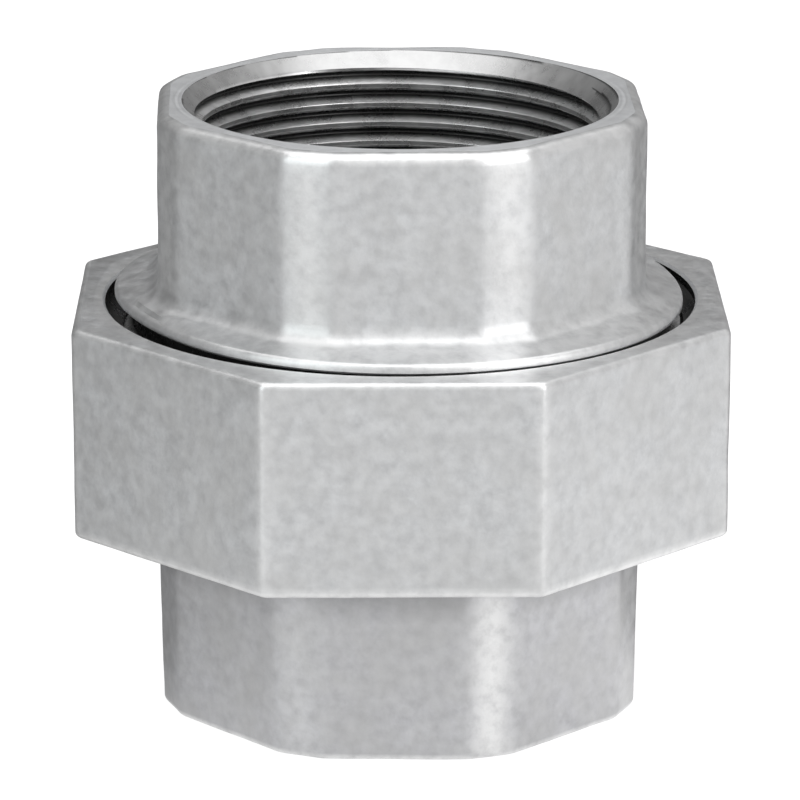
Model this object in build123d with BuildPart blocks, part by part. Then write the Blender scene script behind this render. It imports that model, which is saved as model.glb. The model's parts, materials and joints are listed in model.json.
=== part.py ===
"""Pipe union, female by female, size 1 1/2, in hot-dip galvanised malleable iron, with a flat seat.

Four pieces: the threaded piece on top, the tail piece below it, the union nut that draws the two
together, and the flat gasket between their faces. The origin is on the pipe axis, halfway between the
two end faces, with +Z up the pipe. The union is drawn made up tight.
"""

from build123d import *
from math import ceil
import os

os.makedirs("parts", exist_ok=True)

# ---- Driving dimensions, in mm and degrees ----

overall_length = 70.0  # end face to end face
end_flats = 55.0  # octagon of both ends, across its flats
corner_diameter = 57.5  # the octagons' corners are turned back to this, so the nut slides over them
nut_flats = 73.8  # octagon of the nut, across its flats
nut_top = 12.0
nut_bottom = -12.5
seat_height = -1.9  # underside of the threaded piece, where it meets the gasket

# each octagon points where the last tightening left it
upper_turn = 1.75
nut_turn = 0.5
tail_turn = -1.4

# Whitworth pipe thread form, 11 threads to the inch
thread_pitch = 25.4 / 11
thread_depth = 0.640327 * thread_pitch
crest_flat = thread_pitch / 6
pipe_major = 47.803  # female thread of both ends, for 1 1/2 pipe
pipe_drilled = 0.15  # the tapping bore is this much over the basic minor radius
pipe_thread_length = 19.0
pipe_thread_start = 150.0  # direction in which each socket's thread begins
union_major = 64.6  # thread between the nut and the threaded piece
male_allowance = 0.2  # radial allowance under the basic size on the threaded piece
nut_allowance = 0.1  # radial allowance over the basic size in the nut

# passage through each end
mouth_chamfer = 2.2
chamber_diameter = 48.8  # cored clearance past the last pipe thread
chamber_length = 3.4
passage_diameter = 46.0

# threaded piece
shoulder_diameter = 64.8  # round shoulder that covers the nut's mouth
shoulder_top = 13.3
shoulder_thickness = 1.6
shoulder_rim = 0.7
shoulder_fillet = 1.8
relief_width = 2.4  # undercut between the last union thread and the shoulder
relief_diameter = 60.9
male_lead = 1.6

# tail piece
collar_diameter = 61.2
collar_thickness = 4.4
neck_length = 4.9  # round neck under the collar, which the nut's lip turns on
tail_draft = 0.9

# union nut
mouth_diameter = 67.6
mouth_depth = 1.2
lip_diameter = 58.4
nut_chamber_diameter = 65.7  # room for the collar and the gasket under the last thread
nut_thread_bottom = -2.8

# gasket
gasket_outside = 61.0
gasket_inside = 47.0
gasket_thickness = 2.0

# edges
upper_edge = 1.4
tail_edge = 0.9
facet_edge = 2.0
nut_corner = 1.2
nut_edge = 0.8
small_edge = 0.4

# ---- Worked out from those ----

half_length = overall_length / 2
pipe_wall = pipe_major / 2 - thread_depth + pipe_drilled
male_wall = union_major / 2 - male_allowance
nut_wall = union_major / 2 - thread_depth + nut_allowance
nut_mouth = mouth_diameter / 2
thread_end = half_length - pipe_thread_length
chamber_end = thread_end - chamber_length
tail_top = seat_height - gasket_thickness
collar_bottom = tail_top - collar_thickness
neck_bottom = collar_bottom - neck_length
shoulder_bottom = shoulder_top - shoulder_thickness
male_thread_top = shoulder_bottom - relief_width
relief_middle = male_thread_top + relief_width / 2


def octagon(flats, turn):
    """Draw an octagon with a flat to the front, turned by a few degrees."""
    RegularPolygon(flats / 2, 8, major_radius=False, rotation=180 / 8 + turn)


def end_outline(turn):
    """Draw the octagon of a pipe end, with its corners turned back and the facets' edges eased."""
    octagon(end_flats, turn)
    Circle(corner_diameter / 2, mode=Mode.INTERSECT)
    fillet(vertices(), radius=facet_edge)


def groove_turn(wall_radius, root_radius):
    """Make one turn of a right-hand thread groove, which opens at one radius and ends at the other.

    It starts at angle zero with its middle at height zero, and climbs one pitch.
    """
    outward = 1 if root_radius > wall_radius else -1
    depth = abs(root_radius - wall_radius)
    overshoot = 0.25
    flank_slope = (thread_pitch - 2 * crest_flat) / (2 * thread_depth)
    root_half = crest_flat / 2
    open_half = root_half + (depth + overshoot) * flank_slope
    with BuildPart() as turn:
        with BuildLine() as path:
            helix = Helix(thread_pitch, thread_pitch, wall_radius)
        with BuildSketch(Plane(helix @ 0, x_dir=(outward, 0, 0), z_dir=helix % 0)):
            with BuildLine():
                Polyline(
                    (-overshoot, -open_half),
                    (depth, -root_half),
                    (depth, root_half),
                    (-overshoot, open_half),
                    close=True,
                )
            make_face()
        sweep(path=path.line, is_frenet=True)
    return turn.part


def cut_thread(groove, bottom, top):
    """Cut a thread into the part being built, turn after turn, until the groove is past the top."""
    turns = ceil((top - bottom) / thread_pitch)
    with Locations([(0, 0, bottom + number * thread_pitch) for number in range(turns)]):
        add(groove, mode=Mode.SUBTRACT)


def socket_and_passage(seat):
    """Cut the threaded socket and the cored passage of an end that stands with its open face up."""
    mouth_radius = pipe_wall + mouth_chamfer
    chamber = chamber_diameter / 2
    passage = passage_diameter / 2
    with BuildSketch(Plane.XZ) as section:
        with BuildLine():
            Polyline(
                (0, half_length),
                (mouth_radius, half_length),
                (pipe_wall, half_length - mouth_chamfer),
                (pipe_wall, thread_end),
                (chamber, thread_end),
                (chamber, chamber_end),
                (passage, chamber_end - (chamber - passage)),
                (passage, seat),
                (0, seat),
                close=True,
            )
        make_face()
    revolve(section.sketch, axis=Axis.Z, mode=Mode.SUBTRACT)
    cut_thread(pipe_groove, thread_end - chamber_length / 2, half_length + thread_pitch)


pipe_groove = Rot(0, 0, pipe_thread_start) * groove_turn(pipe_wall, pipe_major / 2)
male_groove = groove_turn(male_wall, male_wall - thread_depth)
nut_groove = groove_turn(nut_wall, nut_wall + thread_depth)

# ---- Threaded piece: octagon, round shoulder and male union thread ----

with BuildPart() as threaded_piece:
    with BuildSketch(Plane.XY.offset(shoulder_bottom)):
        end_outline(upper_turn)
    extrude(amount=half_length - shoulder_bottom)
    fillet(threaded_piece.faces().sort_by(Axis.Z)[-1].edges(), radius=upper_edge)
    with BuildSketch(Plane.XZ):
        with BuildLine():
            Polyline(
                (0, seat_height),
                (male_wall - male_lead, seat_height),
                (male_wall, seat_height + male_lead),
                (male_wall, male_thread_top),
                (relief_diameter / 2, male_thread_top),
                (relief_diameter / 2, shoulder_bottom),
                (shoulder_diameter / 2, shoulder_bottom),
                (shoulder_diameter / 2, shoulder_top),
                (0, shoulder_top),
                close=True,
            )
        make_face()
        fillet(vertices().group_by(Axis.X)[-1].sort_by(Axis.Y)[-1], radius=shoulder_rim)
    revolve(axis=Axis.Z)
    foot = threaded_piece.edges().filter_by_position(Axis.Z, shoulder_top, shoulder_top)
    fillet(foot.filter_by(lambda edge: not edge.is_closed), radius=shoulder_fillet)
    socket_and_passage(seat_height)
    male_turns = ceil((relief_middle - seat_height) / thread_pitch) + 1
    cut_thread(male_groove, relief_middle - male_turns * thread_pitch, relief_middle)

# ---- Tail piece: octagon, round neck and collar, built with its open face up and then turned over ----

with BuildPart() as upright_tail:
    with BuildSketch(Plane.XY.offset(-neck_bottom)):
        end_outline(-tail_turn)
    extrude(amount=half_length + neck_bottom, taper=tail_draft)
    fillet(upright_tail.faces().sort_by(Axis.Z)[-1].edges(), radius=tail_edge)
    with BuildSketch(Plane.XZ):
        with BuildLine():
            Polyline(
                (0, -tail_top),
                (collar_diameter / 2, -tail_top),
                (collar_diameter / 2, -collar_bottom),
                (corner_diameter / 2, -collar_bottom),
                (corner_diameter / 2, -neck_bottom),
                (0, -neck_bottom),
                close=True,
            )
        make_face()
        chamfer(vertices().group_by(Axis.X)[-1], length=small_edge)
    revolve(axis=Axis.Z)
    socket_and_passage(-tail_top)

with BuildPart() as tail_piece:
    add(upright_tail.part, rotation=(180, 0, 0))

# ---- Union nut: octagon with a female thread, and a lip that pulls on the collar ----

with BuildPart() as union_nut:
    with BuildSketch(Plane.XY.offset(nut_bottom)):
        octagon(nut_flats, nut_turn)
        fillet(vertices(), radius=nut_corner)
    extrude(amount=nut_top - nut_bottom)
    fillet(union_nut.edges().filter_by(Axis.Z, reverse=True), radius=nut_edge)
    with BuildSketch(Plane.XZ):
        with BuildLine():
            Polyline(
                (0, nut_bottom),
                (lip_diameter / 2 + small_edge, nut_bottom),
                (lip_diameter / 2, nut_bottom + small_edge),
                (lip_diameter / 2, collar_bottom),
                (nut_chamber_diameter / 2, collar_bottom),
                (nut_chamber_diameter / 2, nut_thread_bottom),
                (nut_wall, nut_thread_bottom),
                (nut_wall, nut_top - mouth_depth - (nut_mouth - nut_wall)),
                (nut_mouth, nut_top - mouth_depth),
                (nut_mouth, nut_top),
                (0, nut_top),
                close=True,
            )
        make_face()
    revolve(axis=Axis.Z, mode=Mode.SUBTRACT)
    # the nut's grooves stand where the threaded piece has its ridges
    nut_turns = ceil((relief_middle - nut_thread_bottom) / thread_pitch) + 1
    cut_thread(nut_groove, relief_middle - (nut_turns - 0.5) * thread_pitch, nut_top)

# ---- Flat gasket between the two faces ----

with BuildPart() as flat_gasket:
    with BuildSketch(Plane.XY.offset(tail_top)):
        Circle(gasket_outside / 2)
        Circle(gasket_inside / 2, mode=Mode.SUBTRACT)
    extrude(amount=gasket_thickness)

threaded_piece.part.label = "threaded_piece"
tail_piece.part.label = "tail_piece"
union_nut.part.label = "union_nut"
flat_gasket.part.label = "flat_gasket"

export_step(threaded_piece.part, "parts/threaded_piece.step")
export_step(tail_piece.part, "parts/tail_piece.step")
export_step(union_nut.part, "parts/union_nut.step")
export_step(flat_gasket.part, "parts/flat_gasket.step")
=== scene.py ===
"""Looks for the galvanised pipe union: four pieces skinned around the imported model, and a studio.

Every piece is one closed skin around the pipe axis. A skin is a list of rings laid along the
piece's section, out over the casting and back through the bore, and each ring says at which radius
and height it passes every angle. One scheme carries octagons, round parts and helical threads.
"""

import json
from math import ceil, cos, floor, pi, radians, sin, tan

import bmesh
import bpy
import numpy as np
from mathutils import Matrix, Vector, noise


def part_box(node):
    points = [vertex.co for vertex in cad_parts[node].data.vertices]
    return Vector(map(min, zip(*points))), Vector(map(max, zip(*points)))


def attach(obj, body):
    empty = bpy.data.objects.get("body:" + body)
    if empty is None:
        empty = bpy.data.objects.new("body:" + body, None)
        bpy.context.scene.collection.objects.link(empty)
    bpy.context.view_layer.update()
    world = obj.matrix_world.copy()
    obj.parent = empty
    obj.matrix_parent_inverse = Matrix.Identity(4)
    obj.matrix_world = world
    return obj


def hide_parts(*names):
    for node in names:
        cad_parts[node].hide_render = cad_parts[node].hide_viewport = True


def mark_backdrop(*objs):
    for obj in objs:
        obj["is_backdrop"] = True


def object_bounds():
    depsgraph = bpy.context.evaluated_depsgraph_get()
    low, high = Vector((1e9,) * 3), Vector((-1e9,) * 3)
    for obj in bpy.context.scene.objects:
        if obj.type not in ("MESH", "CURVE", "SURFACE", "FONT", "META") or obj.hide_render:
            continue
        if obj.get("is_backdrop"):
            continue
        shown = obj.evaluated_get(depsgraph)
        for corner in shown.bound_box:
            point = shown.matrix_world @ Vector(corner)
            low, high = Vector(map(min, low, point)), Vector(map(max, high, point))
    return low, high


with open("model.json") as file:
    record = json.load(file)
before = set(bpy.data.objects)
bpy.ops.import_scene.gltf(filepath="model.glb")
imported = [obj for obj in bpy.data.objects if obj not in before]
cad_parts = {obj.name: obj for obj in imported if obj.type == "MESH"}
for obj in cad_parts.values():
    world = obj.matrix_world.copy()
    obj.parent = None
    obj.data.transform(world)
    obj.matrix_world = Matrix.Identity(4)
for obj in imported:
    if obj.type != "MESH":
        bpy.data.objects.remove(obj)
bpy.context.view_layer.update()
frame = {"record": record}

MM = 0.001

# ---- Sizes: from the frame where it says them, and otherwise as the CAD model has them ----

threaded_low, threaded_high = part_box("threaded_piece")
tail_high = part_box("tail_piece")[1]
nut_low, nut_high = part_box("union_nut")
gasket_low, gasket_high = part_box("flat_gasket")
mounts = {mount["name"]: mount for mount in frame["record"]["mounts"]}

HALF_LENGTH = threaded_high.z
SEAT = threaded_low.z
SHOULDER_RADIUS = threaded_high.x
TAIL_TOP = tail_high.z
COLLAR_RADIUS = tail_high.x
NUT_TOP = nut_high.z
NUT_BOTTOM = nut_low.z
GASKET_RADIUS = gasket_high.x
PIPE_WALL = mounts["upper_socket"]["dims"]["r_mm"] * MM

END_FLATS = 55.0 * MM
CORNER_RADIUS = 28.75 * MM
NUT_FLATS = 73.8 * MM
UPPER_TURN = radians(1.75)
NUT_TURN = radians(0.5)
TAIL_TURN = radians(-1.4)
TAIL_DRAFT = tan(radians(0.9))

# Whitworth pipe thread form, 11 threads to the inch, with the major sizes as radii
PITCH = 25.4 * MM / 11
FORM_DEPTH = 0.640327  # in pitches, from crest to root
FORM_ROUNDING = 0.137329  # in pitches, of crests and roots
FLANK_TILT = radians(62.5)  # between a flank and the pipe axis
THREAD_DEPTH = FORM_DEPTH * PITCH
PIPE_MAJOR = 47.803 * MM / 2
UNION_MAJOR = 64.6 * MM / 2
PIPE_THREAD_LENGTH = 19.0 * MM
MOUTH_CHAMFER = 2.2 * MM
CHAMBER_RADIUS = 24.4 * MM
CHAMBER_LENGTH = 3.4 * MM
PASSAGE_RADIUS = 23.0 * MM

SHOULDER_TOP = 13.3 * MM
SHOULDER_BOTTOM = 11.7 * MM
RELIEF_RADIUS = 30.45 * MM
RELIEF_WIDTH = 2.4 * MM
MALE_WALL = UNION_MAJOR - 0.2 * MM
MALE_LEAD = 1.6 * MM

NUT_WALL = UNION_MAJOR + 0.1 * MM - THREAD_DEPTH
MOUTH_RADIUS = 33.8 * MM
MOUTH_DEPTH = 1.2 * MM
LIP_RADIUS = 29.2 * MM
NUT_CHAMBER_RADIUS = 32.85 * MM
NUT_THREAD_BOTTOM = -2.8 * MM
COLLAR_BOTTOM = TAIL_TOP - 4.4 * MM
NECK_BOTTOM = COLLAR_BOTTOM - 4.9 * MM
GASKET_BORE = 23.5 * MM

UPPER_EDGE = 1.4 * MM
TAIL_EDGE = 0.9 * MM
SHOULDER_FILLET = 2.3 * MM
SHOULDER_RIM = 0.7 * MM
NUT_EDGE = 0.8 * MM
SMALL_EDGE = 0.3 * MM
GASKET_EDGE = 0.25 * MM

# where the threads' crests and roots stand, so that they mesh
RELIEF_MIDDLE = SHOULDER_BOTTOM - RELIEF_WIDTH / 2
PIPE_THREAD_START = 150 / 360  # of a turn, from +X
PIPE_THREAD_END = HALF_LENGTH - PIPE_THREAD_LENGTH
PIPE_CREST = PIPE_THREAD_END - CHAMBER_LENGTH / 2 + (0.5 - PIPE_THREAD_START) * PITCH

# ---- How the casting departs from its drawing. Directions are angles from +X ----

UNEVEN = 0.07 * MM
UNEVEN_SIZE = 7 * MM  # of the broader swells
NUT_CORNER_BLEND = 0.42 * MM
STRIP_BLEND = 0.3 * MM
STRIP_DISTANCE = 28.62 * MM  # from the axis to the strips that the ends' corners are planed to

SHOULDER_SPARE = 1.0 * MM  # the shoulder's rim stands this much further out than it's drawn
SHOULDER_HOLLOWS = ((radians(-152), 1.4 * MM), (radians(8), 1.2 * MM))  # but falls short here
HOLLOW_SPREAD = radians(32)
SHOULDER_TILT = 0.2 * MM  # and the rim is this much out of level
SHOULDER_HIGH_SIDE = radians(-152)
SHOULDER_SLOPE = 0.3 * MM  # the shoulder's top falls by twice this from its foot to its rim

# ---- Rubbing, painted highlights and painted shade ----

# the sides that painted light makes lighter: the front right, once each piece is in place
LIT_SIDE = radians(-60)
TAIL_LIT_SIDE = radians(69)
END_CORNER_WIDTH = radians(4.5)
NUT_CORNER_WIDTH = radians(1.1)
BOTTOM_HIGHLIGHT_BAND = 0.6 * MM  # how far up the nut's walls the painted highlight on its lower edge reaches
SHADE_REACH = 5.5 * MM  # how far down the tail piece's walls the painted shadow from under the nut reaches
TRIMMED_PAINTED_LIGHT = 0.32  # how light a thread is painted where it runs out into a cone, between dark roots and light crests
WALL_STEP = 1.4 * MM  # between the rings of an end's wall
NUT_WALL_STEPS = 10

# the finishes a band of a skin can have, in the order of every iron piece's material slots
CAST, TURNED, THREAD = range(3)

SAME_POINT = MM / 100000  # points that round to the same multiple of this are made one
SHARP_ANGLE = radians(34)  # edges that turn by more than this are shaded sharp


# ---- Skins ----


def spread(half_sector):
    """Angles all round, from those of one half of an octagon's 45-degree sector, in degrees."""
    half = np.array(half_sector)
    sector = np.concatenate([half, 45 - half[-2:0:-1]])
    around = [sector + 45 * number for number in range(8)] + [[360]]
    return np.radians(np.concatenate(around))


# close together where the outlines turn sharply
END_ANGLES = spread(
    [0, 2.4, 4.8, 7.2, 9.6, 12, 14, 15.4, 16.3, 17, 17.6, 18.4, 19.4, 20.9, 22.5]
)
NUT_ANGLES = spread([0, 2.5, 5, 7.5, 10, 12.5, 15, 17.5, 19.6, 21, 21.7, 22.1, 22.3, 22.5])
ROUND_ANGLES = spread([0, 2.5, 5, 7.5, 10, 12.5, 15, 17.5, 20, 22.5])


def smooth_min(a, b, blend):
    """The lesser of two lengths, with the crossing eased over about a blend's length."""
    near = np.maximum(blend - np.abs(a - b), 0) / blend
    return np.minimum(a, b) - near * near * blend / 4


def octagon(angles, flats, blend, strips=None):
    """Radius of an octagon at each angle, with its corners eased.

    Strips is the distance from the axis at which the corners are planed off to narrow flats.
    """
    off_flat = np.abs(np.mod(angles + pi / 8, pi / 4) - pi / 8)
    this_flat = flats / 2 / np.cos(off_flat)
    if strips is None:
        return smooth_min(this_flat, flats / 2 / np.cos(pi / 4 - off_flat), blend)
    return smooth_min(this_flat, strips / np.cos(pi / 8 - off_flat), blend)


def corner_wear_and_sheen(angles, width):
    """How close each angle is to an octagon's corner, for rubbing and painted highlight: 1 at the
    corner and 0 a few widths away.
    """
    off_corner = np.mod(angles, pi / 4) - pi / 8
    return np.exp(-((off_corner / width) ** 2))


def thread_form():
    """One pitch of thread from crest to crest: offsets in pitches, and depths from 0 to 1."""
    arc = np.linspace(0, FLANK_TILT, 4)
    offsets = FORM_ROUNDING * np.sin(arc)
    depths = FORM_ROUNDING * (1 - np.cos(arc)) / FORM_DEPTH
    half_offsets = [*offsets, 0.25, *(0.5 - offsets[::-1])]
    half_depths = [*depths, 0.5, *(1 - depths[::-1])]
    whole_offsets = half_offsets + [1 - offset for offset in half_offsets[-2::-1]]
    whole_depths = half_depths + half_depths[-2::-1]
    return np.array(whole_offsets), np.array(whole_depths)


class Skin:
    """Rings of points around the pipe axis, in order along a section that closes on itself."""

    def __init__(self, angles, turn=0.0):
        self.angles = angles
        self.turn = turn
        self.radius = []
        self.height = []
        self.wear_and_painted_light = []  # rubbing and painted highlight, to 1, or painted shade, to -1; low values paint cut threads dark
        self.uneven = []  # how far the casting's unevenness moves each ring
        self.finish = []  # of the band that leads to each ring
        self.partner = []  # the ring that each ring meets after a full turn

    def ring(self, radius, height, finish, wear_and_painted_light=0.0, uneven=0.0):
        """Add one ring. Radius, height and rubbing-and-light level are numbers, or one number for
        each angle.
        """
        self.partner.append(len(self.radius))
        for rings, value in (self.radius, radius), (self.height, height), (self.wear_and_painted_light, wear_and_painted_light):
            rings.append(np.broadcast_to(np.asarray(value, float), self.angles.shape))
        self.uneven.append(uneven)
        self.finish.append(finish)

    def thread(self, crest, root, low, high, crest_height, limit, downwards=False):
        """Add a right-hand thread between two heights, in rings that climb one pitch a turn.

        A crest passes crest_height at angle zero of the frame. limit(radius, height) trims it.
        """
        offsets, depths = thread_form()
        rows = len(offsets) - 1
        start = crest_height + PITCH * (floor((low - crest_height) / PITCH) - 2)
        turns = ceil((high - start) / PITCH) + 1
        bases = start + PITCH * np.concatenate([turn + offsets[:-1] for turn in range(turns)])
        climb = PITCH * (self.angles + self.turn) / (2 * pi)
        first = len(self.radius)
        for base in bases[::-1] if downwards else bases:
            height = np.clip(base + climb, low, high)
            place = np.mod((height - climb - crest_height) / PITCH, 1)
            depth = np.interp(place, offsets, depths)
            cut = crest + (root - crest) * depth
            radius = limit(cut, height)
            # painted shade: crests get the lightest level, roots the darkest, and parts trimmed by
            # a cone a middling one
            self.ring(radius, height, THREAD, np.where(radius == cut, 1 - depth, TRIMMED_PAINTED_LIGHT))
        last = len(self.radius) - 1
        for number in range(first, last + 1):
            there = number - rows if downwards else number + rows
            self.partner[number] = min(max(there, first), last)

    def build(self, name, materials, seed, upside_down=False):
        """Make the mesh object, with the casting's unevenness pushed along its surface."""
        radius, height = np.array(self.radius), np.array(self.height)
        angles = self.angles + self.turn
        points = np.stack([radius * np.cos(angles), radius * np.sin(angles), height], axis=-1)
        points[:, -1] = points[self.partner, 0]
        if upside_down:
            points = points * (1, -1, -1)
        rings, columns = radius.shape
        points = points.reshape(-1, 3)
        whole = np.round(points / SAME_POINT).astype(np.int64)
        _, keep, same = np.unique(whole, axis=0, return_index=True, return_inverse=True)
        same = same.reshape(rings, columns)
        below = np.roll(same, -1, axis=0)
        corners = [same[:, :-1], same[:, 1:], below[:, 1:], below[:, :-1]]
        quads = np.stack(corners, axis=-1)
        finishes = np.repeat(np.roll(self.finish, -1), columns - 1)
        faces, kept = [], []
        for number, quad in enumerate(quads.reshape(-1, 4).tolist()):
            loop = list(dict.fromkeys(quad))
            if len(loop) > 2:
                faces.append(loop)
                kept.append(number)
        mesh = bpy.data.meshes.new(name)
        mesh.from_pydata(points[keep].tolist(), [], faces)
        mesh.polygons.foreach_set("material_index", finishes[kept])
        for material in materials:
            mesh.materials.append(material)
        face_outward(mesh)
        wear_and_painted_light = mesh.attributes.new("wear_and_painted_light", "FLOAT", "POINT")
        values = np.array(self.wear_and_painted_light).reshape(-1)[keep]
        wear_and_painted_light.data.foreach_set("value", values.astype(np.float32))
        roughen(mesh, np.repeat(self.uneven, columns)[keep], seed)
        mesh.shade_smooth()
        mesh.set_sharp_from_angle(angle=SHARP_ANGLE)
        piece = bpy.data.objects.new(name, mesh)
        bpy.context.scene.collection.objects.link(piece)
        return piece


def face_outward(mesh):
    """Turn every face outward."""
    work = bmesh.new()
    work.from_mesh(mesh)
    bmesh.ops.recalc_face_normals(work, faces=work.faces)
    work.to_mesh(mesh)
    work.free()


def roughen(mesh, amount, seed):
    """Push points along their normals by smooth noise, as a casting's skin is never quite flat."""
    points = np.empty(len(amount) * 3)
    normals = np.empty(len(amount) * 3)
    mesh.vertices.foreach_get("co", points)
    mesh.vertices.foreach_get("normal", normals)
    points = points.reshape(-1, 3)
    swell = np.zeros(len(amount))
    for place in np.flatnonzero(amount):
        spot = Vector(points[place]) / UNEVEN_SIZE + Vector((seed, 0, 0))
        swell[place] = noise.noise(spot) + 0.45 * noise.noise(spot * 2.7)
    points += normals.reshape(-1, 3) * (swell * amount)[:, None]
    mesh.vertices.foreach_set("co", points.reshape(-1))
    mesh.update()


# ---- Pieces ----


def quarter(steps):
    """Sines and cosines of the angles that step through a quarter circle, the start left out."""
    return [(sin(pi / 2 * n / steps), cos(pi / 2 * n / steps)) for n in range(1, steps + 1)]


def end_outline(angles, inset=0.0):
    """Radius of an end's octagon at each angle, or of one drawn in by the inset."""
    return octagon(angles, END_FLATS - 2 * inset, STRIP_BLEND, STRIP_DISTANCE - inset)


def nut_outline(angles, inset=0.0):
    """Radius of the nut's octagon at each angle, or of one drawn in by the inset."""
    return octagon(angles, NUT_FLATS - 2 * inset, NUT_CORNER_BLEND)


def rounded_rim(skin, outline, high, edge, corner, strength, uneven):
    """Add the rounded edge that leads from a face at the top down to an octagon's wall."""
    for out, level in quarter(6):
        radius = outline(skin.angles, edge * (1 - out))
        # painted highlight halfway round the rounded edge, never darker than the corners
        worn_and_lit = np.maximum(corner, out * level * strength)
        skin.ring(radius, high - edge * (1 - level), CAST, worn_and_lit, uneven)


def open_end(skin, wall_end, edge, rubbed_and_lit, draft=0.0, painted_shade=0.0):
    """Add the end face, its rounded edge and the octagon's wall, down to a height.

    The fourth argument sets the rubbing and painted highlight on the corners, and the last how dark
    a painted shadow makes the wall where it ends.
    """
    corner = rubbed_and_lit * corner_wear_and_sheen(skin.angles, END_CORNER_WIDTH)
    top_inset = (HALF_LENGTH - wall_end) * draft
    mouth = PIPE_WALL + MOUTH_CHAMFER
    face_edge = end_outline(skin.angles, edge + top_inset)
    for share in (0, 0.3, 0.65, 1):
        radius = mouth + (face_edge - mouth) * share
        skin.ring(radius, HALF_LENGTH, TURNED, uneven=UNEVEN * share / 2)

    def drafted(angles, inset):
        return end_outline(angles, inset + top_inset)

    rounded_rim(skin, drafted, HALF_LENGTH, edge, corner, 2, UNEVEN)
    wall_start = HALF_LENGTH - edge
    steps = ceil((wall_start - wall_end) / WALL_STEP)
    for step in range(1, steps + 1):
        height = wall_start + (wall_end - wall_start) * step / steps
        inset = (height - wall_end) * draft
        # painted shadow: strongest where the wall ends, fading out over the reach
        painted_shadow = painted_shade * max(1 - (height - wall_end) / SHADE_REACH, 0)
        skin.ring(end_outline(skin.angles, inset), height, CAST, corner - painted_shadow, UNEVEN)


def socket_bore(skin, seat):
    """Add the passage, the clearance chamber and the pipe thread, from the seat up to the mouth."""
    chamber_top = PIPE_THREAD_END
    chamber_bottom = chamber_top - CHAMBER_LENGTH
    mouth_bottom = HALF_LENGTH - MOUTH_CHAMFER
    skin.ring(PASSAGE_RADIUS + SMALL_EDGE, seat, TURNED)
    skin.ring(PASSAGE_RADIUS, seat + SMALL_EDGE, TURNED, 1)
    throat = chamber_bottom - (CHAMBER_RADIUS - PASSAGE_RADIUS)
    for share in (0.25, 0.5, 0.75, 1):
        uneven = UNEVEN if share < 1 else 0
        skin.ring(PASSAGE_RADIUS, seat + (throat - seat) * share, CAST, 0, uneven)
    skin.ring(CHAMBER_RADIUS, chamber_bottom, CAST)
    skin.ring(CHAMBER_RADIUS, chamber_top, CAST)

    def trim(radius, height):
        return np.maximum(radius, PIPE_WALL + np.maximum(height - mouth_bottom, 0))

    crest = PIPE_MAJOR - THREAD_DEPTH
    skin.thread(crest, PIPE_MAJOR, chamber_top, HALF_LENGTH, PIPE_CREST, trim)


def threaded_piece():
    """The upper end: octagon, cast shoulder and male union thread, all round the bore."""
    skin = Skin(END_ANGLES, UPPER_TURN)
    around = skin.angles + skin.turn
    tilt = SHOULDER_TILT * np.cos(around - SHOULDER_HIGH_SIDE)
    rim = SHOULDER_RADIUS + SHOULDER_SPARE
    for middle, depth in SHOULDER_HOLLOWS:
        off = np.mod(around - middle + pi, 2 * pi) - pi
        rim = rim - depth * np.exp(-((off / HOLLOW_SPREAD) ** 2))
    # rubbing and painted light on the shoulder: lighter towards the front right, where the light
    # falls
    rubbed_and_lit = 0.35 + 0.4 * np.cos(around - LIT_SIDE)
    foot = SHOULDER_TOP + SHOULDER_SLOPE
    rim_top = SHOULDER_TOP - SHOULDER_SLOPE + tilt
    rim_bottom = SHOULDER_BOTTOM + tilt
    open_end(skin, foot + SHOULDER_FILLET, UPPER_EDGE, 0.6)
    for out, level in quarter(6):
        radius = end_outline(skin.angles, -SHOULDER_FILLET * (1 - level))
        height = foot + SHOULDER_FILLET * (1 - out) + tilt * out / 3
        skin.ring(radius, height, CAST, rubbed_and_lit * out, UNEVEN)
    skin.ring(rim - SHOULDER_RIM, rim_top, CAST, rubbed_and_lit, UNEVEN)
    for out, level in quarter(5):
        height = rim_top - SHOULDER_RIM * (1 - level)
        skin.ring(rim - SHOULDER_RIM * (1 - out), height, CAST, rubbed_and_lit)
    skin.ring(rim, rim_bottom + SMALL_EDGE, CAST, rubbed_and_lit)
    # painted shade: the rim's underside edge darkens to black
    skin.ring(rim - SMALL_EDGE, rim_bottom, CAST, -1)
    # the relief groove is cut iron painted near black, as shade in the gap
    skin.ring(RELIEF_RADIUS, SHOULDER_BOTTOM, THREAD)
    skin.ring(RELIEF_RADIUS, SHOULDER_BOTTOM - RELIEF_WIDTH, THREAD)

    def trim(radius, height):
        return np.minimum(radius, MALE_WALL - np.maximum(MALE_LEAD - (height - SEAT), 0))

    skin.thread(
        MALE_WALL,
        MALE_WALL - THREAD_DEPTH,
        SEAT,
        SHOULDER_BOTTOM - RELIEF_WIDTH,
        RELIEF_MIDDLE + PITCH / 2,
        trim,
        downwards=True,
    )
    socket_bore(skin, SEAT)
    return skin.build("threaded_piece_look", iron, seed=3.1)


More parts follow.
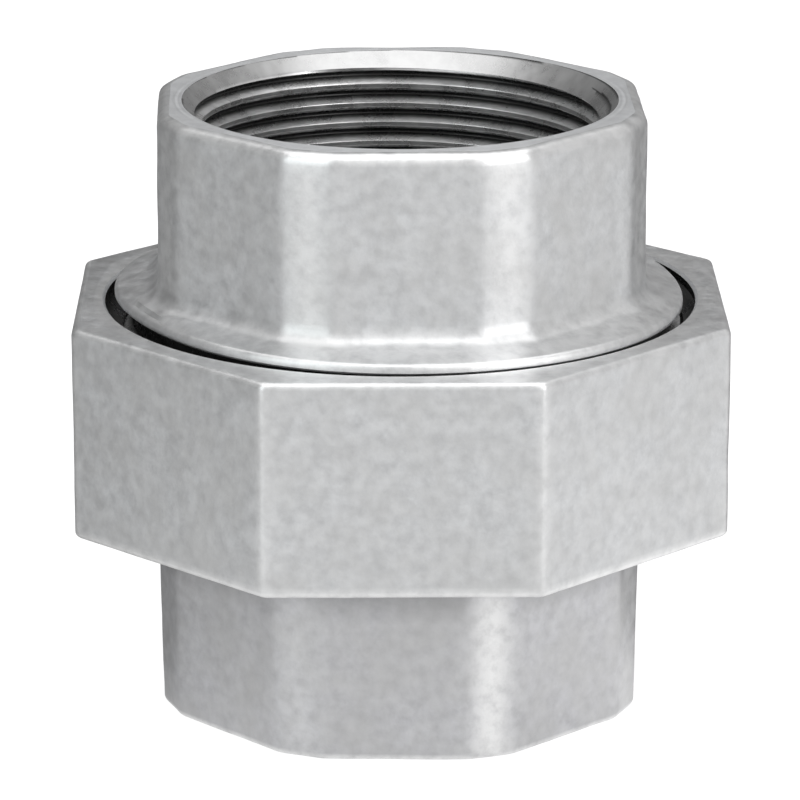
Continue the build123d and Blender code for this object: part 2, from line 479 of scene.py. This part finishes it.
def tail_piece():
    """The lower end, made with its open face up as the threaded piece is, and then turned over."""
    skin = Skin(END_ANGLES, -TAIL_TURN)
    # painted highlight with rubbing on the corner strips, only towards the front right once turned
    # over, where the light falls
    rubbed_and_lit = (0.5 + 0.5 * np.cos(skin.angles + skin.turn - TAIL_LIT_SIDE)) ** 10
    # a painted shadow darkens the wall where it meets the nut, once turned over
    open_end(skin, -NECK_BOTTOM, TAIL_EDGE, rubbed_and_lit, TAIL_DRAFT, 0.6)
    skin.ring(CORNER_RADIUS, -NECK_BOTTOM, TURNED)
    skin.ring(CORNER_RADIUS, -COLLAR_BOTTOM, TURNED)
    skin.ring(COLLAR_RADIUS - SMALL_EDGE, -COLLAR_BOTTOM, TURNED)
    skin.ring(COLLAR_RADIUS, -COLLAR_BOTTOM - SMALL_EDGE, TURNED, 1)
    skin.ring(COLLAR_RADIUS, -TAIL_TOP + SMALL_EDGE, TURNED, 1)
    skin.ring(COLLAR_RADIUS - SMALL_EDGE, -TAIL_TOP, TURNED, 1)
    socket_bore(skin, -TAIL_TOP)
    return skin.build("tail_piece_look", shaded_iron, seed=8.4, upside_down=True)


def union_nut():
    """The nut: octagon, lip, room for the collar, female union thread and mouth."""
    skin = Skin(NUT_ANGLES, NUT_TURN)
    # the nut's corners get rubbing and painted highlight
    corner = 0.5 * corner_wear_and_sheen(skin.angles, NUT_CORNER_WIDTH)
    # painted light: the top face is lighter towards the front right, where the light falls, and
    # lightest at the mouth's edge
    rubbed_and_lit = 0.1 + 0.4 * np.cos(skin.angles + skin.turn - LIT_SIDE)
    wall = nut_outline(skin.angles)
    # the mouth's wall is cut iron painted near black, as shade in the gap
    skin.ring(MOUTH_RADIUS, NUT_TOP - SMALL_EDGE, THREAD, 0)
    skin.ring(MOUTH_RADIUS + SMALL_EDGE, NUT_TOP, TURNED, 1)
    face_edge = nut_outline(skin.angles, NUT_EDGE)
    for share in (0.5, 1):
        radius = MOUTH_RADIUS + SMALL_EDGE
        skin.ring(radius + (face_edge - radius) * share, NUT_TOP, CAST, rubbed_and_lit, UNEVEN / 2)
    rounded_rim(skin, nut_outline, NUT_TOP, NUT_EDGE, corner, 1.4, UNEVEN / 2)
    wall_start, wall_end = NUT_TOP - NUT_EDGE, NUT_BOTTOM + NUT_EDGE
    # painted highlight along the nut's lower edge, over the wall's last band and the rounded edge
    # below
    drop = wall_end + BOTTOM_HIGHLIGHT_BAND - wall_start
    for step in range(1, NUT_WALL_STEPS + 1):
        skin.ring(wall, wall_start + drop * step / NUT_WALL_STEPS, CAST, corner, UNEVEN)
    skin.ring(wall, wall_end, CAST, np.maximum(corner, 0.6), UNEVEN)
    for out, level in quarter(6):
        radius = nut_outline(skin.angles, NUT_EDGE * (1 - level))
        worn_and_lit = np.maximum(corner, min(0.6 + out * level * 1.6, 1))
        skin.ring(radius, wall_end - NUT_EDGE * out, CAST, worn_and_lit, UNEVEN / 2)
    skin.ring(LIP_RADIUS + SMALL_EDGE, NUT_BOTTOM, CAST)
    skin.ring(LIP_RADIUS, NUT_BOTTOM + SMALL_EDGE, TURNED, 1)
    skin.ring(LIP_RADIUS, COLLAR_BOTTOM, TURNED)
    skin.ring(NUT_CHAMBER_RADIUS, COLLAR_BOTTOM, TURNED)
    skin.ring(NUT_CHAMBER_RADIUS, NUT_THREAD_BOTTOM, TURNED)
    cone_top = NUT_TOP - MOUTH_DEPTH
    cone_bottom = cone_top - (MOUTH_RADIUS - NUT_WALL)

    def trim(radius, height):
        return np.maximum(radius, NUT_WALL + np.maximum(height - cone_bottom, 0))

    skin.thread(
        NUT_WALL,
        NUT_WALL + THREAD_DEPTH,
        NUT_THREAD_BOTTOM,
        cone_bottom + 1.1 * THREAD_DEPTH,
        RELIEF_MIDDLE,
        trim,
    )
    # the band from here up to the mouth is painted near black, as shade
    skin.ring(MOUTH_RADIUS, cone_top, THREAD)
    return skin.build("union_nut_look", iron, seed=5.7)


def flat_gasket():
    """The sealing ring between the two ends."""
    skin = Skin(ROUND_ANGLES)
    bottom, top = gasket_low.z, gasket_high.z
    ease = GASKET_EDGE
    for radius, height in (
        (GASKET_BORE + ease, top),
        (GASKET_RADIUS - ease, top),
        (GASKET_RADIUS, top - ease),
        (GASKET_RADIUS, bottom + ease),
        (GASKET_RADIUS - ease, bottom),
        (GASKET_BORE + ease, bottom),
        (GASKET_BORE, bottom + ease),
        (GASKET_BORE, top - ease),
    ):
        skin.ring(radius, height, 0)
    return skin.build("flat_gasket_look", [gasket_fibre], seed=1.3)


# ---- Materials ----


class Graph:
    """A material's node tree, built from short calls."""

    def __init__(self, name):
        self.material = bpy.data.materials.new(name)
        self.material.use_nodes = True
        self.nodes = self.material.node_tree.nodes
        self.links = self.material.node_tree.links
        self.nodes.clear()

    def node(self, kind, inputs, **settings):
        """Add a node, and set or link its inputs by name or number."""
        made = self.nodes.new("ShaderNode" + kind)
        for name, value in settings.items():
            setattr(made, name, value)
        for name, value in inputs.items():
            if isinstance(value, bpy.types.NodeSocket):
                self.links.new(value, made.inputs[name])
            else:
                made.inputs[name].default_value = value
        return made

    def math(self, operation, a, b=0.0):
        return self.node("Math", {0: a, 1: b}, operation=operation).outputs[0]

    def ramp(self, value, from_low, from_high, to_low, to_high):
        """Carry a value from one range to another, held within it."""
        inputs = {0: value, 1: from_low, 2: from_high, 3: to_low, 4: to_high}
        return self.node("MapRange", inputs).outputs[0]

    def curve(self, value, points):
        """Carry a value from 0 to 1 through a smooth curve."""
        made = self.node("FloatCurve", {"Value": value})
        line = made.mapping.curves[0]
        for x, y in points[1:-1]:
            line.points.new(x, y)
        line.points[0].location = points[0]
        line.points[len(points) - 1].location = points[-1]
        made.mapping.update()
        return made.outputs[0]

    def mix(self, share, a, b):
        """Blend two colours."""
        inputs = {0: share, 6: a, 7: b}
        return self.node("Mix", inputs, data_type="RGBA").outputs[2]

    def noise(self, where, size, detail=2.0, roughness=0.5):
        """Smooth noise from 0 to 1 with blotches of about the given size."""
        inputs = {"Vector": where, "Scale": 1 / size, "Detail": detail, "Roughness": roughness}
        return self.node("TexNoise", inputs).outputs[0]

    def bump(self, height, distance, strength=1.0, normal=None):
        inputs = {"Height": height, "Distance": distance, "Strength": strength}
        if normal is not None:
            inputs["Normal"] = normal
        return self.node("Bump", inputs).outputs[0]

    def finish(self, **inputs):
        """Add the shader, whose inputs are named in lower case, and return the material."""
        named = {name.replace("_", " ").title(): value for name, value in inputs.items()}
        shader = self.node("BsdfPrincipled", named)
        self.node("OutputMaterial", {0: shader.outputs[0]})
        return self.material


# tints of the zinc and of bare iron
COOL = (0.975, 0.985, 1.0)
BLUISH = (0.97, 0.97, 1.0)
WARM = (1.0, 0.995, 0.985)


def grey(level, tint=(1, 1, 1)):
    return (level * tint[0], level * tint[1], level * tint[2], 1)


def galvanised(name, shade, cast=(1, 1, 1)):
    """Hot-dipped zinc on a cast skin: dull, mottled, fine-grained, and lighter with rubbing and
    painted highlight.

    Shade scales how light the zinc is, and cast tints it. The mesh's level of rubbing and painted
    light lightens it above zero, and darkens it with painted shade below zero.
    """
    graph = Graph(name)
    where = graph.node("TexCoord", {}).outputs["Object"]
    wear_and_painted_light = graph.node("Attribute", {}, attribute_name="wear_and_painted_light").outputs["Fac"]
    broad = graph.noise(where, 6 * MM, 3)
    mottle = graph.noise(where, 1.6 * MM, 3, 0.6)
    grain = graph.noise(where, 0.35 * MM, 2, 0.6)
    cells = graph.node("TexVoronoi", {"Vector": where, "Scale": 1 / (1.5 * MM)}).outputs["Distance"]
    dark, light = grey(0.56 * shade, cast), grey(0.72 * shade, cast)
    tone = graph.mix(graph.ramp(mottle, 0.32, 0.68, 0, 1), dark, light)
    tone = graph.mix(graph.ramp(broad, 0.35, 0.7, 0, 0.5), tone, grey(0.57 * shade, WARM))
    tone = graph.mix(graph.ramp(cells, 0.1, 0.8, 0.3, 0), tone, grey(0.74 * shade))
    # rubbing and painted highlight, where the level is above zero, lighten the zinc
    worn_and_lit = graph.math("MAXIMUM", wear_and_painted_light, 0.0)
    rubbed_and_lit = graph.math("MULTIPLY", worn_and_lit, graph.ramp(mottle, 0.3, 0.6, 0.5, 1))
    # painted shade, where the level is below zero, darkens the zinc towards black
    shade_share = graph.math("MAXIMUM", graph.math("MULTIPLY", wear_and_painted_light, -1.0), 0.0)
    painted_shade = graph.math("MULTIPLY", shade_share, 0.85)
    tone = graph.mix(rubbed_and_lit, tone, grey(0.86))
    tone = graph.mix(painted_shade, tone, grey(0.06))
    texture = graph.math("ADD", mottle, graph.math("MULTIPLY", grain, 0.5))
    roughness = graph.ramp(texture, 0.5, 1.0, 0.38, 0.54)
    roughness = graph.math("SUBTRACT", roughness, graph.math("MULTIPLY", rubbed_and_lit, 0.12))
    coarse = graph.bump(mottle, 0.05 * MM, 0.6)
    fine = graph.bump(grain, 0.02 * MM, 0.6, coarse)
    return graph.finish(base_color=tone, metallic=0.9, roughness=roughness, normal=fine)


def turned_face(name):
    """A face turned on the lathe, with faint rings left by the tool."""
    graph = Graph(name)
    where = graph.node("TexCoord", {}).outputs["Object"]
    flat = graph.node("VectorMath", {0: where, 1: (1, 1, 0)}, operation="MULTIPLY").outputs[0]
    from_axis = graph.node("VectorMath", {0: flat}, operation="LENGTH").outputs["Value"]
    ring_noise = {"W": from_axis, "Scale": 1 / (0.35 * MM), "Detail": 3}
    rings = graph.node("TexNoise", ring_noise, noise_dimensions="1D").outputs[0]
    mottle = graph.noise(where, 2.5 * MM, 3, 0.6)
    tone = graph.mix(graph.ramp(mottle, 0.3, 0.7, 0, 1), grey(0.74, COOL), grey(0.86, COOL))
    roughness = graph.ramp(rings, 0.3, 0.7, 0.48, 0.58)
    around = graph.node("Tangent", {}, direction_type="RADIAL", axis="Z").outputs[0]
    return graph.finish(
        base_color=tone,
        metallic=1.0,
        roughness=roughness,
        anisotropic=0.15,
        anisotropic_rotation=0.25,
        tangent=around,
        normal=graph.bump(rings, 0.006 * MM, 0.4),
    )


def cut_thread(name):
    """Threads cut after galvanising: bare iron, painted with shade from near black in roots and
    gaps to light crests.
    """
    graph = Graph(name)
    where = graph.node("TexCoord", {}).outputs["Object"]
    wear_and_painted_light = graph.node("Attribute", {}, attribute_name="wear_and_painted_light").outputs["Fac"]
    blotch = graph.noise(where, 3 * MM, 3, 0.6)
    grain = graph.noise(where, 0.3 * MM, 2, 0.6)
    tone = graph.mix(graph.ramp(blotch, 0.35, 0.65, 0, 1), grey(0.78), grey(0.95))
    # painted shade: levels below about a half turn the iron near black
    tone = graph.mix(graph.ramp(wear_and_painted_light, 0.05, 0.5, 0, 1), grey(0.04), tone)
    roughness = graph.ramp(blotch, 0.3, 0.7, 0.22, 0.36)
    fine = graph.bump(grain, 0.01 * MM, 0.5)
    return graph.finish(base_color=tone, metallic=0.95, roughness=roughness, normal=fine)


def fibre(name):
    """Pressed gasket fibre: dark green-grey, dull, with short pale flecks."""
    graph = Graph(name)
    where = graph.node("TexCoord", {}).outputs["Object"]
    flecks = graph.noise(where, 0.4 * MM, 4, 0.7)
    dark, pale = (0.035, 0.06, 0.05, 1), (0.13, 0.16, 0.14, 1)
    tone = graph.mix(graph.ramp(flecks, 0.45, 0.7, 0, 1), dark, pale)
    return graph.finish(base_color=tone, roughness=0.8, normal=graph.bump(flecks, 0.04 * MM, 0.6))


zinc = galvanised("galvanised_iron", 1.0, COOL)
# painted shade: the tail piece's zinc is a darker copy, standing in for the shade below the nut;
# its bluish tint is its own colour
shaded_zinc = galvanised("shaded_galvanised_iron", 0.88, BLUISH)
turned = turned_face("turned_iron")
thread = cut_thread("cut_thread_iron")
gasket_fibre = fibre("gasket_fibre")
iron = [zinc, turned, thread]
shaded_iron = [shaded_zinc, turned, thread]

for make, node, body, slot in (
    (threaded_piece, "threaded_piece", "threaded_end", "threaded_piece_iron"),
    (tail_piece, "tail_piece", "tail", "tail_piece_iron"),
    (union_nut, "union_nut", "nut", "nut_iron"),
    (flat_gasket, "flat_gasket", "tail", "gasket_fibre"),
):
    piece = make()
    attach(piece, body)
    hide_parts(node)

# ---- Studio: a pale floor, soft boxes around and above, and a long lens ----

scene = bpy.context.scene
scene.view_settings.view_transform = "Standard"


def aim(thing, azimuth, elevation, distance, target=(0, 0, 0)):
    """Stand a camera or light off the target, facing it. Azimuth 0 is in front, 90 to the right."""
    turn, lift = radians(azimuth), radians(elevation)
    away = Vector((sin(turn) * cos(lift), -cos(turn) * cos(lift), sin(lift)))
    thing.location = Vector(target) + away * distance
    thing.rotation_mode = "QUATERNION"
    thing.rotation_quaternion = (-away).to_track_quat("-Z", "Y")


def softbox(name, azimuth, elevation, distance, width, height, radiance, colour=(1, 1, 1)):
    """Add an area light that looks as bright in the metal as the given radiance."""
    light = bpy.data.lights.new(name, "AREA")
    light.shape = "RECTANGLE"
    light.size, light.size_y = width, height
    light.energy = radiance * pi * width * height
    light.color = colour
    lamp = bpy.data.objects.new(name, light)
    scene.collection.objects.link(lamp)
    aim(lamp, azimuth, elevation, distance)


softbox("right", 45, 24, 1.3, 0.7, 1.2, 1.9)
softbox("left", -45, 24, 1.3, 0.7, 1.2, 1.3, (0.93, 1, 1))
softbox("overhead", 0, 90, 1.2, 1.5, 1.5, 1.15)

FLOOR_REACH = 6.0
# how bright the floor's glow, painted light seen only in the metal, is by azimuth in degrees
FLOOR_LEVELS = (
    (-180, 0.03),
    (-140, 0.10),
    (-105, 0.15),
    (-86, 0.34),
    (-45, 0.64),
    (0, 0.65),
    (45, 0.73),
    (72, 0.86),
    (86, 0.90),
    (103, 0.34),
    (130, 0.10),
    (180, 0.03),
)
# where the surroundings are lightest, and how light they are opposite it and there
WORLD_LEAN = (0.4, -0.72, 0.57)
WORLD_LEVELS = (0.05, 0.75)

CAMERA_LENS = 221.6  # mm, on a sensor 36 mm wide
CAMERA_ELEVATION = 16.55
CAMERA_DISTANCE = 0.5684
CAMERA_TARGET = (-0.02 * MM, 0, -0.77 * MM)


def floor_material():
    """White paper to the camera, and clear from below.

    In the metal it glows as painted light, bright in front and to the right, and dim behind. The
    glow has a painted shadow right under the object, and is a little lighter close around it than
    further off.
    """
    graph = Graph("studio_floor")
    paper = graph.node("BsdfDiffuse", {"Color": grey(0.25)}).outputs[0]
    glow = graph.node("Emission", {"Color": grey(0.92)}).outputs[0]
    seen = graph.node("AddShader", {0: paper, 1: glow}).outputs[0]
    where = graph.node("TexCoord", {}).outputs["Object"]
    spot = graph.node("SeparateXYZ", {0: where})
    ahead = graph.math("MULTIPLY", spot.outputs["Y"], -1.0)
    azimuth = graph.math("ARCTAN2", spot.outputs["X"], ahead)
    points = [(turn / 360 + 0.5, up) for turn, up in FLOOR_LEVELS]
    level = graph.curve(graph.ramp(azimuth, -pi, pi, 0, 1), points)
    from_axis = graph.node("VectorMath", {0: where}, operation="LENGTH").outputs["Value"]
    # painted contact shadow in the glow under the object, and a little painted light close around
    # it
    level = graph.math("MULTIPLY", level, graph.ramp(from_axis, 29 * MM, 42 * MM, 0.3, 1))
    level = graph.math("MULTIPLY", level, graph.ramp(from_axis, 60 * MM, 110 * MM, 1.08, 1))
    mirrored = graph.node("Emission", {"Strength": level}).outputs[0]
    dim = graph.node("BsdfDiffuse", {"Color": grey(0.15)}).outputs[0]
    lit = graph.node("AddShader", {0: mirrored, 1: dim}).outputs[0]
    camera_ray = graph.node("LightPath", {}).outputs["Is Camera Ray"]
    both = graph.node("MixShader", {0: camera_ray, 1: lit, 2: seen}).outputs[0]
    from_below = graph.node("NewGeometry", {}).outputs["Backfacing"]
    nothing = graph.node("BsdfTransparent", {}).outputs[0]
    whole = graph.node("MixShader", {0: from_below, 1: both, 2: nothing}).outputs[0]
    graph.node("OutputMaterial", {0: whole})
    return graph.material


def studio_floor(level):
    """A square of floor at the given height."""
    mesh = bpy.data.meshes.new("studio_floor")
    sides = [(-1, -1), (1, -1), (1, 1), (-1, 1)]
    corners = [(x * FLOOR_REACH, y * FLOOR_REACH, level) for x, y in sides]
    mesh.from_pydata(corners, [], [(0, 1, 2, 3)])
    mesh.materials.append(floor_material())
    made = bpy.data.objects.new("studio_floor", mesh)
    scene.collection.objects.link(made)
    return made


def studio_world():
    """Soft surroundings that are light in front and above, and dark behind."""
    world = bpy.data.worlds.new("studio")
    world.use_nodes = True
    nodes, links = world.node_tree.nodes, world.node_tree.links
    where = nodes.new("ShaderNodeTexCoord").outputs["Generated"]
    dot = nodes.new("ShaderNodeVectorMath")
    dot.operation = "DOT_PRODUCT"
    dot.inputs[1].default_value = WORLD_LEAN
    links.new(where, dot.inputs[0])
    ramp = nodes.new("ShaderNodeMapRange")
    ramp.inputs["From Min"].default_value = -1
    ramp.inputs["To Min"].default_value = WORLD_LEVELS[0]
    ramp.inputs["To Max"].default_value = WORLD_LEVELS[1]
    links.new(dot.outputs["Value"], ramp.inputs["Value"])
    links.new(ramp.outputs[0], nodes["Background"].inputs["Strength"])
    nodes["Background"].inputs["Color"].default_value = grey(1)
    return world


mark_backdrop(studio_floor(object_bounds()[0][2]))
scene.world = studio_world()

camera_data = bpy.data.cameras.new("camera")
camera_data.sensor_width = 36
camera_data.lens = CAMERA_LENS
camera_data.clip_start = 0.01
camera = bpy.data.objects.new("camera", camera_data)
scene.collection.objects.link(camera)
scene.camera = camera
aim(camera, 0, CAMERA_ELEVATION, CAMERA_DISTANCE, CAMERA_TARGET)
